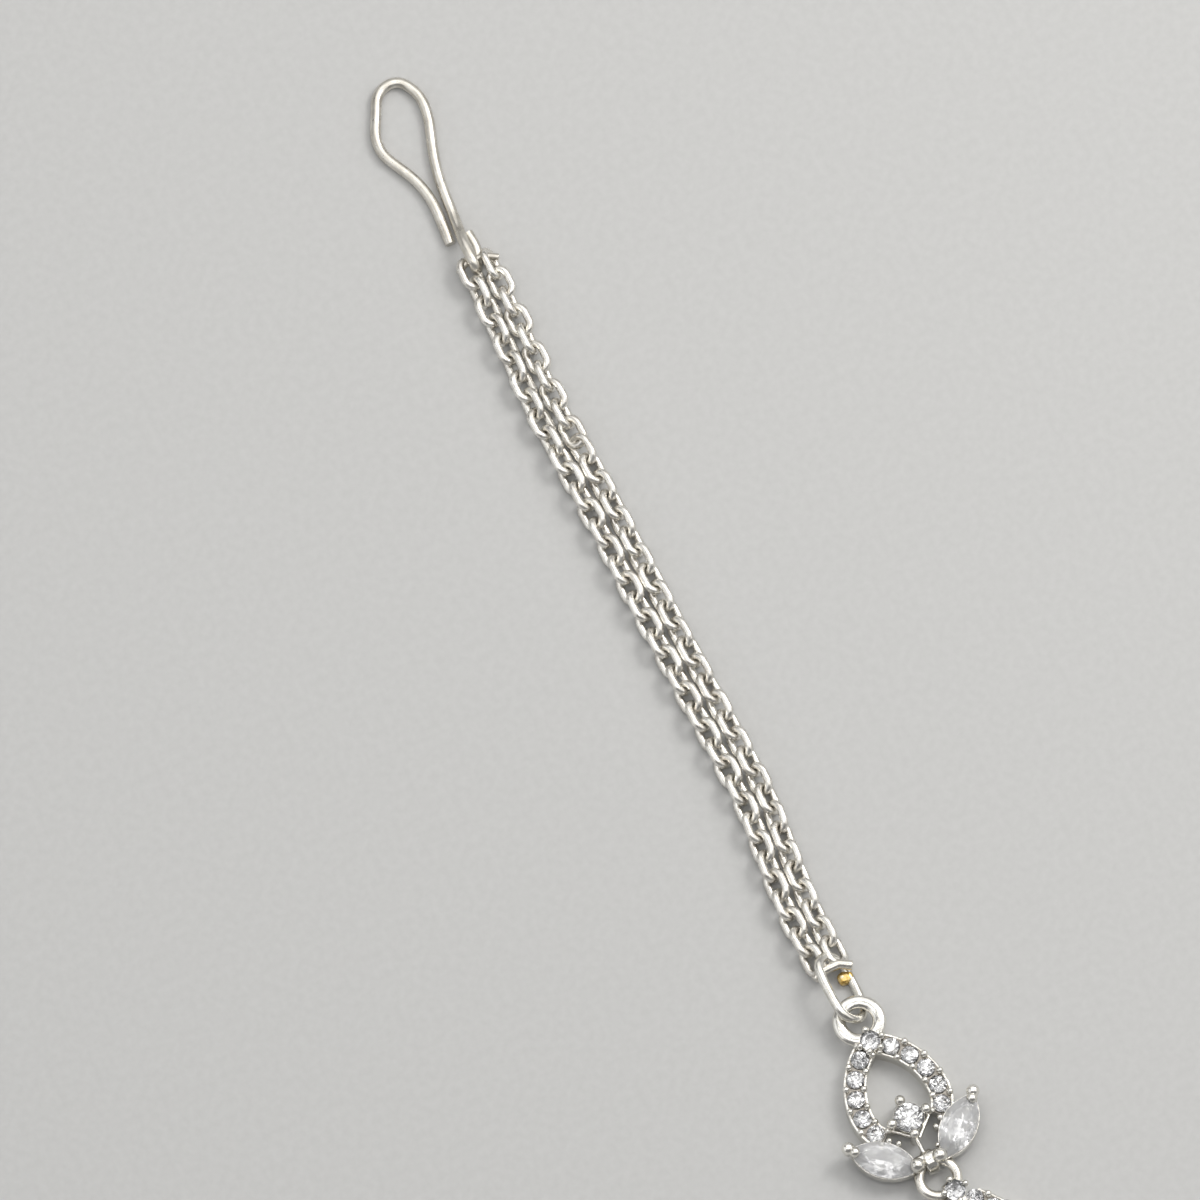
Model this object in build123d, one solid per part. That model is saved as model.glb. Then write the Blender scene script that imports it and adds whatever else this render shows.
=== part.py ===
from build123d import *
import math
import os

# A silver-plated maang tikka (forehead jewel) lying flat on a surface, its hair hook towards +Y.
# All sizes are millimetres. The surface is Z = 0, and the origin is the middle of the jewel's
# footprint on it, on the axis of the paved motif.

# --- gaps -------------------------------------------------------------------------------------
FIT_GAP = 0.05  # between a stone and its setting
RING_GAP = 0.08  # between linked rings and the castings they pass through
CUTTER = 20.0  # side of a block that cuts away everything beyond a line

# --- hook -------------------------------------------------------------------------------------
HOOK_WIRE = 1.04  # wire diameter
LIE = HOOK_WIRE / 2  # height of a hook wire that lies on the surface
OVER = 2.32  # height of the wire where it passes over the end bar
# The wire's route from its free end, round the teardrop loop, down the shank and round the eye
HOOK_ROUTE = [
    (-1.12, 52.30, LIE),
    (-0.70, 58.40, LIE),
    (-3.12, 63.30, LIE),
    (-3.07, 65.15, LIE),
    (-0.85, 69.42, LIE),
    (1.55, 69.72, LIE),
    (2.80, 67.40, LIE),
    (2.68, 65.20, LIE),
    (0.80, 59.70, LIE),
    (0.34, 54.20, LIE),
    (-0.15, 51.00, OVER),
    (-0.20, 48.65, OVER),
    (0.00, 48.65, LIE),
    (1.00, 50.60, LIE),
    (0.86, 52.60, LIE),
]
HOOK_BEND_SHARE = 0.48  # of the shorter run that each bend takes up

# --- end bars: short bent wires with blunt ends, each route a list of x, y ---------------------
UPPER_BAR_RADIUS = 0.33
UPPER_BAR_Z = (LIE + OVER) / 2
UPPER_BAR_ROUTE = [(-1.85, 48.95), (-1.00, 49.55), (1.15, 49.60), (2.42, 48.80)]
LOWER_BAR_RADIUS = 0.48
LOWER_BAR_ROUTE = [(-2.02, -30.66), (-1.20, -30.12), (0.75, -30.12), (1.92, -30.84)]
BAR_BEND = 0.70
BAR_END_ROUND = 0.12

# --- rings ------------------------------------------------------------------------------------
RING_Z = 1.72  # height of the lower end bar and of the motif's top ring
JUMP_WIRE = 0.92
JUMP_HALF_LENGTH = 3.50  # to the wire's centre
JUMP_HALF_WIDTH = 1.90  # to the wire's centre
JUMP_END_RADIUS = 1.77
JUMP_TILT = 41.7  # degrees about its long axis: its left arm lies over the bars, its right under
JUMP_CENTRE = (-0.10, -32.44, 1.775)

LINK_WIRE = 1.00
LINK_RADIUS = 1.85  # to the wire's centre
LINK_CENTRE = (0.03, -53.60, 1.25)

# --- chain: two strands side by side, each the outer size of its links ------------------------
STRAND_RADIUS = 1.10
STRAND_OFFSET = 1.14  # each strand's centre from the middle of the pair
STRAND_BEND_SHARE = 0.45  # of the shorter run that each bend takes up
STRAND_LIE = 1.12  # height of a strand's centre where it lies on the surface
# The middle of the pair from the hook to the lower end bar: x, y, z
CHAIN_ROUTE = [
    (0.35, 48.00, 1.25),
    (0.25, 40.60, STRAND_LIE),
    (-0.17, 32.00, STRAND_LIE),
    (0.34, 22.80, STRAND_LIE),
    (0.40, 11.20, STRAND_LIE),
    (0.64, -0.40, STRAND_LIE),
    (0.98, -11.40, STRAND_LIE),
    (0.25, -17.60, STRAND_LIE),
    (-0.30, -23.40, STRAND_LIE),
    (-0.18, -28.10, 1.30),
]

# --- paved pear frames ------------------------------------------------------------------------
BAND_WIDTH = 2.25  # width of the paved band
BAND_HEIGHT = 1.75
RIM_WIDTH = 0.22  # plain rim along each edge of the band
RIM_HEIGHT = 0.16  # of the rim above the paved floor
EDGE_ROUND = 0.09
SEAT_RADIUS = 0.45  # opening under a paved stone
SEAT_MOUTH = 0.74  # its countersunk mouth
SEAT_DEPTH = 0.55
STONE_PITCH = 2.03  # between paved stones, along the middle of the band from the tip stone

# --- motif: everything below is measured from the centre of the pear frame's bowl -------------
MOTIF_AT = (0.0, -45.27)
MOTIF_BOWL = 5.17  # outer radius of the bowl
MOTIF_APEX = 7.90  # from the bowl's centre to the outline's apex
MOTIF_BLEND = 0.0  # degrees above the widest point where the flanks leave the bowl
MOTIF_STONES = 5  # paved stones on each arm, which ends half a pitch past the last one
LOWER_X = -0.20  # the parts under the round stone sit a little to the left of the axis

TOP_RING_Y = 9.07
TOP_RING_RADIUS = 1.95  # to the middle of its section
TOP_RING_WIDTH = 1.34  # of the oval section
TOP_RING_HEIGHT = 0.90

TIP_SEAT_RADIUS = 1.05
TIP_SEAT_TOP = 2.30
TIP_SEAT_THICKNESS = 0.55

ROUND_AT = (0.0, -1.90)
ROUND_RADIUS = 1.45
ROUND_GIRDLE_Z = 2.35
ROUND_GIRDLE = 0.06
ROUND_CROWN = 0.50
ROUND_PAVILION = 1.20
ROUND_TABLE = 0.58  # table radius over girdle radius
HEAD_TOP_RADIUS = 1.52
HEAD_FOOT_RADIUS = 1.20
HEAD_WALL = 0.45
CLAW_RADIUS = 0.42
CLAW_TIP_RADIUS = 0.52
CLAW_REACH = 1.82  # of a claw's centre from the stone's centre
CLAW_ANGLES = (0, 93, 180, 262)
CLAW_TOP = 2.74

MARQUISE_LENGTH = 7.0
MARQUISE_WIDTH = 3.5
MARQUISE_AT = (4.00, -4.70)  # the right one; the left one is its mirror image
MARQUISE_ANGLE = 41.5  # degrees, outer tip up
MARQUISE_GIRDLE_Z = 2.20
MARQUISE_GIRDLE = 0.10
MARQUISE_CROWN = 0.62
MARQUISE_PAVILION = 1.25
MARQUISE_TABLE = 0.60  # table size over girdle size
MARQUISE_KEEL = 0.12  # keel size over girdle size
TRAY_OUTSET = 0.06  # of the setting beyond the stone
TRAY_INSET = 0.42  # of its opening inside the stone's outline
TRAY_BOTTOM = 1.10
TRAY_RIM_Z = 2.12

OUTER_BALL = (6.70, -2.22, 2.50, 0.65)  # x, y, z, radius
OUTER_CAP = (6.28, -2.86, 2.62, 0.54)  # the same prong's second lobe, over the stone's tip
INNER_BALL = (1.20, -6.66, 2.60, 0.76)  # x from the lower middle
BALL_POST_RADIUS = 0.40
SMALL_PRONGS = [(2.73, -3.14, 2.20, 0.30), (1.99, -3.78, 2.10, 0.30)]
BRIDGE_Y = -6.10
BRIDGE_Z = 1.95
BRIDGE_RADIUS = 0.42
STEM_RADIUS = 0.22
STEM_HEAD_Z = 1.55  # at the round head
BRACE_OUTER = (2.45, -1.81, 1.55)  # the brace's end in the arm; the left one is its mirror image
BRACE_INNER = (0.10, -4.03, 1.85)  # its end at the stem
BRACE_RADIUS = 0.20

LUG_AT = (0.0, -6.50)
LUG_OUTER = 1.24
LUG_INNER = 0.70
LUG_WIDTH = 1.25
LUG_ROUND = 0.28

# --- main pendant: measured from the centre of its pear frame's bowl --------------------------
PENDANT_AT = (0.82, -63.88)
PENDANT_BOWL = 6.20
PENDANT_APEX = 9.60
PENDANT_BLEND = 25.0
PENDANT_TIP_Y = 8.18  # centre of the tip stone
NECK_Y = 7.50  # the band ends here, behind the link ring
NECK_START_Y = 6.25  # the block from the band to the tip stone's seat starts here
NECK_WIDTH = 1.30
NECK_LOW_Z = 1.20
BAIL_ANGLE = 20.0  # degrees round the link ring from its lowest point to the bail
BAIL_OUTER = 1.00
BAIL_INNER = 0.66
BAIL_WIDTH = 0.90


def rod(start, end, radius):
    """A round rod between two points."""
    line = Line(start, end)
    return sweep((line ^ 0) * Circle(radius), path=line)


def wire_tube(points, bends, radius):
    """A round wire along straight runs joined by arcs, with a bend radius for each inner point."""
    path = FilletPolyline(*points, radius=bends[1:-1])
    return sweep((path ^ 0) * Circle(radius), path=path), path.length


def ball(place):
    """A sphere from (x, y, z, radius)."""
    x, y, z, radius = place
    return Pos(x, y, z) * Sphere(radius)


def upright(x, y, low, high, radius):
    """A vertical round post between two heights."""
    return Pos(x, y, (low + high) / 2) * Cylinder(radius, high - low)


def prism(face, low, high):
    """A flat face stretched upward between two heights."""
    return Pos(0, 0, low) * extrude(face, amount=high - low, dir=(0, 0, 1))


def hook():
    """The hair hook."""
    return wire_tube(HOOK_ROUTE, bend_radii(HOOK_ROUTE, HOOK_BEND_SHARE), HOOK_WIRE / 2)[0]


def end_bar(route, z, radius):
    """A short bent wire at one height, its blunt ends rounded at the edge."""
    points = [(x, y, z) for x, y in route]
    wire = wire_tube(points, [BAR_BEND] * len(points), radius)[0]
    rims = [edge for edge in wire.edges() if is_end_rim(edge, points)]
    return fillet(rims, BAR_END_ROUND)


def is_end_rim(edge, points):
    """Whether an edge is the circle round one end of a wire."""
    ends = [Vector(*points[0]), Vector(*points[-1])]
    if edge.geom_type != GeomType.CIRCLE or not edge.is_closed:
        return False
    return min((edge.arc_center - end).length for end in ends) < FIT_GAP


def bend_radii(points, share):
    """The arc at each corner that takes up a share of the shorter run beside it."""
    radii = []
    for before, corner, after in zip(points, points[1:], points[2:]):
        run_in = Vector(*corner) - Vector(*before)
        run_out = Vector(*after) - Vector(*corner)
        half_turn = math.radians(run_in.get_angle(run_out)) / 2
        radii.append(share * min(run_in.length, run_out.length) / math.tan(half_turn))
    return [None] + radii + [None]


def chain_strand(side):
    """One strand's tube; side is -1 for the left strand and 1 for the right one."""
    points = [(x + side * STRAND_OFFSET, y, z) for x, y, z in CHAIN_ROUTE]
    radii = bend_radii(points, STRAND_BEND_SHARE)
    print("strand", side, "bend radii", [round(r, 1) for r in radii[1:-1]])
    tube, length = wire_tube(points, radii, STRAND_RADIUS)
    section = math.pi * STRAND_RADIUS**2
    print("strand", side, "volume over section x length", round(tube.volume / (section * length), 4))
    return tube


def oval_path(half_length, half_width, end_radius):
    """A closed oval of two end arcs and two side arcs, tangent to each other, long along Y."""
    reach = half_length - end_radius
    side_radius = (reach**2 + half_width**2 - end_radius**2) / (2 * (half_width - end_radius))
    side_centre = half_width - side_radius
    scale = side_radius / (side_radius - end_radius)
    join_x = side_centre * (1 - scale)
    join_y = reach * scale
    right = ThreePointArc((join_x, -join_y), (half_width, 0), (join_x, join_y))
    top = ThreePointArc((join_x, join_y), (0, half_length), (-join_x, join_y))
    left = ThreePointArc((-join_x, join_y), (-half_width, 0), (-join_x, -join_y))
    bottom = ThreePointArc((-join_x, -join_y), (0, -half_length), (join_x, -join_y))
    return Wire([right.edge(), top.edge(), left.edge(), bottom.edge()])


def jump_ring():
    """The oval ring, tilted about its long axis."""
    path = oval_path(JUMP_HALF_LENGTH, JUMP_HALF_WIDTH, JUMP_END_RADIUS)
    section = Plane((0, JUMP_HALF_LENGTH, 0), x_dir=(0, 1, 0), z_dir=(-1, 0, 0)) * Circle(JUMP_WIRE / 2)
    ring = sweep(section, path=path)
    return Pos(*JUMP_CENTRE) * Rot(0, JUMP_TILT, 0) * ring


def link_torus(wire_radius):
    """The round link ring, with a wire of the given radius."""
    return Pos(*LINK_CENTRE) * Torus(LINK_RADIUS, wire_radius)


class Pear:
    """A pear outline: a round bowl and two flank arcs that are tangent to it and meet at an apex."""

    def __init__(self, bowl, apex, blend_degrees):
        blend = math.radians(blend_degrees)
        self.bowl = bowl
        self.toward = (math.cos(blend), math.sin(blend))
        self.shift = (apex**2 - bowl**2) / (2 * (bowl - apex * self.toward[1]))
        self.flank_centre = (-self.shift * self.toward[0], -self.shift * self.toward[1])
        self.blend = blend

    def apex_angle(self, inset):
        """Angle at the right flank's centre of the apex of the outline moved inward by inset."""
        return math.acos(-self.flank_centre[0] / (self.bowl + self.shift - inset))

    def flank_point(self, inset, angle):
        """A point of the right flank moved inward by inset."""
        radius = self.bowl + self.shift - inset
        x = self.flank_centre[0] + radius * math.cos(angle)
        return x, self.flank_centre[1] + radius * math.sin(angle)

    def face(self, inset):
        """The area inside the outline moved inward by inset."""
        radius = self.bowl - inset
        join = (radius * self.toward[0], radius * self.toward[1])
        tip = self.flank_point(inset, self.apex_angle(inset))
        middle = self.flank_point(inset, (self.blend + self.apex_angle(inset)) / 2)
        bowl = ThreePointArc(join, (0, -radius), (-join[0], join[1]))
        left = ThreePointArc((-join[0], join[1]), (-middle[0], middle[1]), (0, tip[1]))
        right = ThreePointArc((0, tip[1]), middle, join)
        return Face(Wire([bowl.edge(), left.edge(), right.edge()]))

    def half_length(self, inset):
        """Length of half the outline moved inward by inset, from its apex to its lowest point."""
        flank = (self.bowl + self.shift - inset) * (self.apex_angle(inset) - self.blend)
        return flank + (self.bowl - inset) * (self.blend + math.pi / 2)

    def station(self, inset, distance):
        """The point at a distance from the apex along the right half of the inset outline."""
        flank_radius = self.bowl + self.shift - inset
        flank = flank_radius * (self.apex_angle(inset) - self.blend)
        if distance < flank:
            return self.flank_point(inset, self.apex_angle(inset) - distance / flank_radius)
        radius = self.bowl - inset
        angle = self.blend - (distance - flank) / radius
        return radius * math.cos(angle), radius * math.sin(angle)


def band(pear):
    """The paved band: a sunk floor between two plain rims, with rounded edges."""
    body = prism(pear.face(0), 0, BAND_HEIGHT) - prism(pear.face(BAND_WIDTH), 0, BAND_HEIGHT)
    body = fillet(body.edges().group_by(Axis.Z)[-1], EDGE_ROUND)
    low, high = BAND_HEIGHT - RIM_HEIGHT, BAND_HEIGHT + RIM_HEIGHT
    channel = prism(pear.face(RIM_WIDTH), low, high)
    return body - (channel - prism(pear.face(BAND_WIDTH - RIM_WIDTH), low, high))


def stone_seat(x, y):
    """The opening under one paved stone, countersunk at its mouth."""
    floor = BAND_HEIGHT - RIM_HEIGHT
    mouth = Pos(x, y, floor - SEAT_DEPTH / 2) * Cone(SEAT_RADIUS, SEAT_MOUTH, SEAT_DEPTH)
    return upright(x, y, -FIT_GAP, floor, SEAT_RADIUS) + mouth


def mirrored(points):
    """Each point and its mirror image across the jewel's axis."""
    return points + [(-x, y) for x, y in points]


def tip_seat(y):
    """The round seat that carries a tip stone."""
    low = TIP_SEAT_TOP - TIP_SEAT_THICKNESS
    return upright(0, y, low, TIP_SEAT_TOP, TIP_SEAT_RADIUS)


def top_ring():
    """The motif's top ring, of oval section, cast in one with the frame."""
    section = Plane.XZ * Pos(TOP_RING_RADIUS, 0) * Ellipse(TOP_RING_WIDTH / 2, TOP_RING_HEIGHT / 2)
    return Pos(0, TOP_RING_Y, RING_Z) * revolve(section, Axis.Z)


def marquise_face(grow):
    """A marquise outline along X: two arcs that meet at pointed tips, grown outward by grow."""
    half, side = MARQUISE_LENGTH / 2, MARQUISE_WIDTH / 2
    radius = (half**2 + side**2) / (2 * side) + grow
    drop = radius - (side + grow)
    tip = math.sqrt(radius**2 - drop**2)
    upper = ThreePointArc((-tip, 0), (0, side + grow), (tip, 0))
    lower = ThreePointArc((tip, 0), (0, -side - grow), (-tip, 0))
    return Face(Wire([upper.edge(), lower.edge()]))


def marquise_solid(grow):
    """A marquise stone lying along X, its girdle at its real height, grown by grow all round.

    Each long side is turned about an upright axis, and the stone is what the two turnings share.
    """
    half, side = MARQUISE_LENGTH / 2, MARQUISE_WIDTH / 2
    radius = (half**2 + side**2) / (2 * side)
    belt_z = MARQUISE_GIRDLE_Z + MARQUISE_GIRDLE
    table_z = belt_z + MARQUISE_CROWN + grow
    keel_z = MARQUISE_GIRDLE_Z - MARQUISE_PAVILION - grow
    profile = Polyline(
        (0, keel_z),
        (radius - side * (1 - MARQUISE_KEEL), keel_z),
        (radius + grow, MARQUISE_GIRDLE_Z),
        (radius + grow, belt_z),
        (radius - side * (1 - MARQUISE_TABLE), table_z),
        (0, table_z),
        close=True,
    )
    turned = revolve(Plane.XZ * make_face(profile), Axis.Z)
    return (Pos(0, side - radius, 0) * turned) & (Pos(0, radius - side, 0) * turned)


def marquise_tray():
    """The open setting of a marquise stone, before its inside is cut to the stone's shape."""
    walls = prism(marquise_face(TRAY_OUTSET), TRAY_BOTTOM, TRAY_RIM_Z)
    return walls - prism(marquise_face(-TRAY_INSET), 0, 2 * TRAY_RIM_Z)


def marquise_place(side):
    """Where a marquise lies, measured from the motif's centre; side is 1 right and -1 left."""
    x, y = MARQUISE_AT
    return Pos(side * x, y, 0) * Rot(0, 0, side * MARQUISE_ANGLE)


def round_solid(grow):
    """The round stone, grown by grow all round."""
    crown_z = ROUND_GIRDLE_Z + ROUND_CROWN + grow
    table = ROUND_RADIUS * ROUND_TABLE
    profile = Polyline(
        (0, ROUND_GIRDLE_Z - ROUND_PAVILION - grow),
        (ROUND_RADIUS + grow, ROUND_GIRDLE_Z - grow),
        (ROUND_RADIUS + grow, ROUND_GIRDLE_Z + grow + ROUND_GIRDLE),
        (table, crown_z),
        (0, crown_z),
        close=True,
    )
    return Pos(*ROUND_AT, 0) * revolve(Plane.XZ * make_face(profile), Axis.Z)


def round_head():
    """The conical collar and four claws of the round stone."""
    height = ROUND_GIRDLE_Z
    cone = Cone(HEAD_FOOT_RADIUS, HEAD_TOP_RADIUS, height)
    bore = Cone(HEAD_FOOT_RADIUS - HEAD_WALL, HEAD_TOP_RADIUS - HEAD_WALL, height)
    head = Pos(*ROUND_AT, height / 2) * (cone - bore)
    for angle in CLAW_ANGLES:
        x = ROUND_AT[0] + CLAW_REACH * math.cos(math.radians(angle))
        y = ROUND_AT[1] + CLAW_REACH * math.sin(math.radians(angle))
        head += upright(x, y, 0, CLAW_TOP, CLAW_RADIUS)
        head += ball((x, y, CLAW_TOP, CLAW_TIP_RADIUS))
    return head


def ball_prong(place, side, middle=0.0):
    """A ball prong on its post beside a marquise setting; side is 1 right and -1 left of middle."""
    x, y, z, radius = place
    post = upright(middle + side * x, y, TRAY_BOTTOM, z, min(radius, BALL_POST_RADIUS))
    return ball((middle + side * x, y, z, radius)) + post


def lug():
    """The loop under the bridge that the link ring hangs in; its opening runs along X."""
    outer = Cylinder(LUG_OUTER, LUG_WIDTH, rotation=(0, 90, 0))
    outer = fillet(outer.edges().filter_by(GeomType.CIRCLE), LUG_ROUND)
    return Pos(*LUG_AT, LINK_CENTRE[2]) * outer


def lug_bore():
    """The lug's opening."""
    return Pos(*LUG_AT, LINK_CENTRE[2]) * Cylinder(LUG_INNER, 3 * LUG_WIDTH, rotation=(0, 90, 0))


def motif_stones():
    """Centres of the motif's paved stones, without the tip stone, on the right arm."""
    pear = Pear(MOTIF_BOWL, MOTIF_APEX, MOTIF_BLEND)
    return [pear.station(BAND_WIDTH / 2, i * STONE_PITCH) for i in range(1, MOTIF_STONES + 1)]


def below_arms(pear):
    """The block that cuts the bowl away below the arms, square to each arm's end."""
    x, y = pear.station(BAND_WIDTH / 2, (MOTIF_STONES + 0.5) * STONE_PITCH)
    x, y = x * CUTTER / MOTIF_BOWL, y * CUTTER / MOTIF_BOWL
    outline = Polyline((0, 0), (x, y), (x, y - CUTTER), (-x, y - CUTTER), (-x, y), close=True)
    return prism(make_face(outline), -CUTTER, CUTTER)


def motif_arms(pear):
    """The two paved arms with the openings under their stones."""
    arms = band(pear) - below_arms(pear)
    for x, y in mirrored(motif_stones()):
        arms -= stone_seat(x, y)
    return arms - Pos(*ROUND_AT, 0) * Cylinder(HEAD_FOOT_RADIUS, CUTTER)


def lower_metal():
    """The marquise settings, the inner ball prongs, the bridge between them and the lug."""
    metal = lug()
    for side in (1, -1):
        metal += marquise_place(side) * marquise_tray()
        metal += ball_prong(INNER_BALL, side, LOWER_X)
    left, right = LOWER_X - INNER_BALL[0], LOWER_X + INNER_BALL[0]
    metal += rod((left, BRIDGE_Y, BRIDGE_Z), (right, BRIDGE_Y, BRIDGE_Z), BRIDGE_RADIUS)
    ring_room = Pos(-MOTIF_AT[0], -MOTIF_AT[1], 0) * link_torus(LINK_WIRE / 2 + RING_GAP)
    return metal - ring_room - lug_bore()


def motif_frame():
    """The motif's one casting, without its stones."""
    pear = Pear(MOTIF_BOWL, MOTIF_APEX, MOTIF_BLEND)
    tip_y = pear.station(BAND_WIDTH / 2, 0)[1]
    frame = motif_arms(pear) + top_ring() + tip_seat(tip_y) + round_head() + lower_metal()
    for side in (1, -1):
        frame += ball_prong(OUTER_BALL, side) + ball((side * OUTER_CAP[0], *OUTER_CAP[1:]))
        for prong in SMALL_PRONGS:
            frame += ball_prong(prong, side)
        ends = [(side * x, y, z) for x, y, z in (BRACE_OUTER, BRACE_INNER)]
        frame += rod(*ends, BRACE_RADIUS)
    stem_start = (LOWER_X, ROUND_AT[1] - CLAW_REACH, STEM_HEAD_Z)
    frame += rod(stem_start, (LOWER_X, BRIDGE_Y, BRIDGE_Z), STEM_RADIUS)
    frame -= round_solid(FIT_GAP)
    for side in (1, -1):
        frame -= marquise_place(side) * marquise_solid(FIT_GAP)
    return Pos(*MOTIF_AT, 0) * frame


def bail():
    """The pendant's loop round the link ring, square to the ring's wire."""
    angle = math.radians(BAIL_ANGLE)
    x = LINK_CENTRE[0] + LINK_RADIUS * math.sin(angle)
    y = LINK_CENTRE[1] - LINK_RADIUS * math.cos(angle)
    loop = Cylinder(BAIL_OUTER, BAIL_WIDTH, rotation=(0, 90, 0))
    loop -= Cylinder(BAIL_INNER, 3 * BAIL_WIDTH, rotation=(0, 90, 0))
    return Pos(x, y, LINK_CENTRE[2]) * Rot(0, 0, BAIL_ANGLE) * loop


def pendant_stones():
    """Centres of the pendant's paved stones on its right half, the lowest one last."""
    pear = Pear(PENDANT_BOWL, PENDANT_APEX, PENDANT_BLEND)
    half = pear.half_length(BAND_WIDTH / 2)
    count = round(half / STONE_PITCH)
    return [pear.station(BAND_WIDTH / 2, half * i / count) for i in range(1, count + 1)]


def neck():
    """The round-ended block that joins the pendant's band to its tip stone's seat."""
    start = NECK_START_Y + NECK_WIDTH / 2
    block = Box(NECK_WIDTH, PENDANT_TIP_Y - start, TIP_SEAT_TOP - NECK_LOW_Z)
    block = Pos(0, (start + PENDANT_TIP_Y) / 2, (NECK_LOW_Z + TIP_SEAT_TOP) / 2) * block
    return block + upright(0, start, NECK_LOW_Z, TIP_SEAT_TOP, NECK_WIDTH / 2)


def pendant_frame():
    """The main pendant's one casting, without its stones."""
    pear = Pear(PENDANT_BOWL, PENDANT_APEX, PENDANT_BLEND)
    above = Pos(0, NECK_Y + CUTTER / 2, 0) * Box(CUTTER, CUTTER, CUTTER)
    frame = band(pear) - above
    stones = pendant_stones()
    for x, y in mirrored(stones[:-1]) + [stones[-1]]:
        frame -= stone_seat(x, y)
    frame += neck() + tip_seat(PENDANT_TIP_Y)
    frame = Pos(*PENDANT_AT, 0) * frame
    frame -= link_torus(LINK_WIRE / 2 + RING_GAP)
    return frame + bail()


def build():
    """Every node by name."""
    motif = Pos(*MOTIF_AT, 0)
    return {
        "hook": hook(),
        "upper_end_bar": end_bar(UPPER_BAR_ROUTE, UPPER_BAR_Z, UPPER_BAR_RADIUS),
        "chain_strand_left": chain_strand(-1),
        "chain_strand_right": chain_strand(1),
        "lower_end_bar": end_bar(LOWER_BAR_ROUTE, RING_Z, LOWER_BAR_RADIUS),
        "jump_ring": jump_ring(),
        "motif_frame": motif_frame(),
        "round_stone": motif * round_solid(0),
        "marquise_stone_left": motif * marquise_place(-1) * marquise_solid(0),
        "marquise_stone_right": motif * marquise_place(1) * marquise_solid(0),
        "link_ring": link_torus(LINK_WIRE / 2),
        "pendant_frame": pendant_frame(),
    }


def write(nodes):
    """One STEP file a node."""
    os.makedirs("parts", exist_ok=True)
    for name, shape in nodes.items():
        export_step(shape, f"parts/{name}.step")


write(build())
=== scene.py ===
import bpy
import math
import random
from mathutils import Matrix, Vector


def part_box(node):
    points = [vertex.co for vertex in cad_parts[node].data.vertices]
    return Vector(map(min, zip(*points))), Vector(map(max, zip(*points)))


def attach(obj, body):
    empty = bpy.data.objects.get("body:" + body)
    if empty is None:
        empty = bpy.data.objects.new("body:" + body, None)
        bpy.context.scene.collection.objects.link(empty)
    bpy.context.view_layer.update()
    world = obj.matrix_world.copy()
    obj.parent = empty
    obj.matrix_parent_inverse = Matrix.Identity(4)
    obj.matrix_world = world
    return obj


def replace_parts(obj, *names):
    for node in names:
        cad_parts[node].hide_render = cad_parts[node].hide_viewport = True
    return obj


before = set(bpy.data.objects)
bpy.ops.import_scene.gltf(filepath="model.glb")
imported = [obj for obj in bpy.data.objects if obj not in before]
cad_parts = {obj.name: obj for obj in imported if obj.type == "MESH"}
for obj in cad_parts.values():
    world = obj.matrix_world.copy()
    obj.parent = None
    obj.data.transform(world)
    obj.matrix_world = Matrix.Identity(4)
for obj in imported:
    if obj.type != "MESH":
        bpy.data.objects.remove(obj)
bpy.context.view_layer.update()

# The maang tikka's visible model. Lengths below are millimetres in the frame of the CAD model, and
# MM turns them into Blender's metres.
MM = 0.001
SEED = 7

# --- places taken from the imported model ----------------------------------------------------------
TOP_RING_Y = 9.07  # centre of the motif's top ring, from the centre of its pear's bowl
TOP_RING_RADIUS = 1.95  # to the middle of the ring's section
TOP_RING_WIDTH = 1.34
MOTIF_TOP = TOP_RING_Y + TOP_RING_RADIUS + TOP_RING_WIDTH / 2
PENDANT_BOWL = 6.20  # outer radius of the pendant's bowl


def box_mm(node):
    """A CAD node's lowest and highest corner, in millimetres."""
    low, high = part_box(node)
    return low / MM, high / MM


def motif_centre():
    """Centre of the motif's bowl."""
    low, high = box_mm("motif_frame")
    return Vector(((low.x + high.x) / 2, high.y - MOTIF_TOP, 0))


def pendant_centre():
    """Centre of the pendant's bowl."""
    low, high = box_mm("pendant_frame")
    return Vector(((low.x + high.x) / 2, low.y + PENDANT_BOWL, 0))


# --- meshes --------------------------------------------------------------------------------------
# A shape is its points, its faces and each face's material number.
def mesh_piece(name, parts, materials, smooth):
    """A piece from gathered shapes, riding on the jewel."""
    data = bpy.data.meshes.new(name)
    data.from_pydata([point * MM for point in parts.points], [], parts.faces)
    for material in materials:
        data.materials.append(material)
    data.polygons.foreach_set("material_index", parts.kinds)
    data.validate()
    if smooth:
        data.shade_smooth()
    else:
        data.shade_flat()
    piece = bpy.data.objects.new(name, data)
    bpy.context.scene.collection.objects.link(piece)
    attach(piece, "root")
    return piece


class Parts:
    """Points, faces and each face's material number, gathered from many small shapes."""

    def __init__(self):
        self.points = []
        self.faces = []
        self.kinds = []

    def add(self, shape, place):
        """Adds a shape, moved by a matrix."""
        points, faces, kinds = shape
        start = len(self.points)
        self.points += [place @ Vector(point) for point in points]
        self.faces += [tuple(start + i for i in face) for face in faces]
        self.kinds += kinds


# --- stones --------------------------------------------------------------------------------------
SIDES = 16  # points round a stone's girdle
STAR_LIFT = 1.12  # height of the crown's inner corners over a straight slope's
BACK_MIDDLE = 0.55  # how far out from foot to girdle the back's inner corners lie
BACK_BULGE = 1.06  # depth of those corners over a straight slope's

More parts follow.
